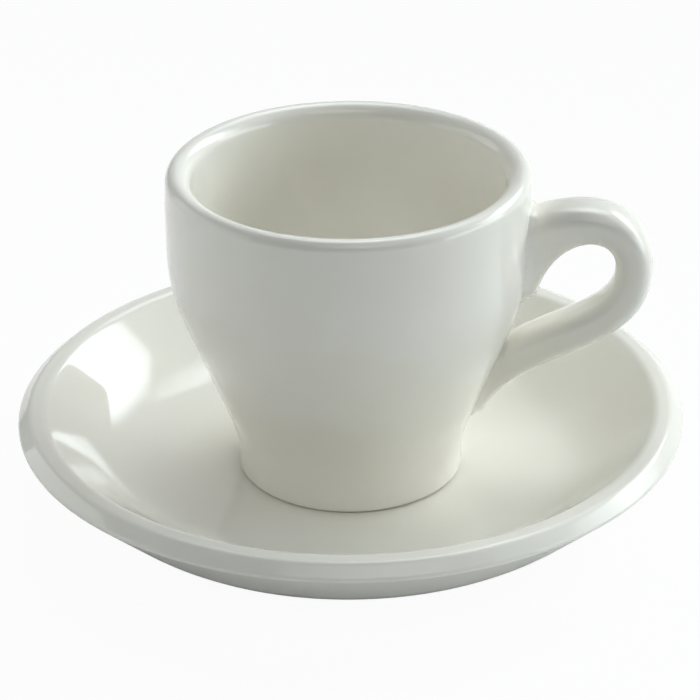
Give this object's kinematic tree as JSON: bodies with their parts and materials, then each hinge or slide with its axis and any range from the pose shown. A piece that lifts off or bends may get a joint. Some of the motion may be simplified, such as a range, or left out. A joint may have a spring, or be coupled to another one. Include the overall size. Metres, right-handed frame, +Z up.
{
  "type": "espresso cup with saucer",
  "caption": "Thick-walled white espresso cup with a looped handle, standing on the flat middle of a deep round saucer; the cup lifts off.",
  "frame": {"origin": "middle of the saucer's base, on the surface it stands on", "axes": "+Z up out of the cup's mouth, +X from the cup's axis towards the handle"},
  "size_m": [0.12, 0.12, 0.063],
  "materials": {
    "saucer_glaze": "glossy white glaze over porcelain, slightly warm",
    "cup_glaze": "glossy white glaze over porcelain, slightly warm"
  },
  "bodies": {
    "saucer": {"saucer": "saucer_glaze"},
    "cup": {"cup_body": "cup_glaze", "cup_handle": "cup_glaze"}
  },
  "joints": [
    {"name": "cup_lift", "type": "slide", "parent": "saucer", "child": "cup", "axis": [0, 0, 1], "range_m": [0, 0.06]}
  ]
}
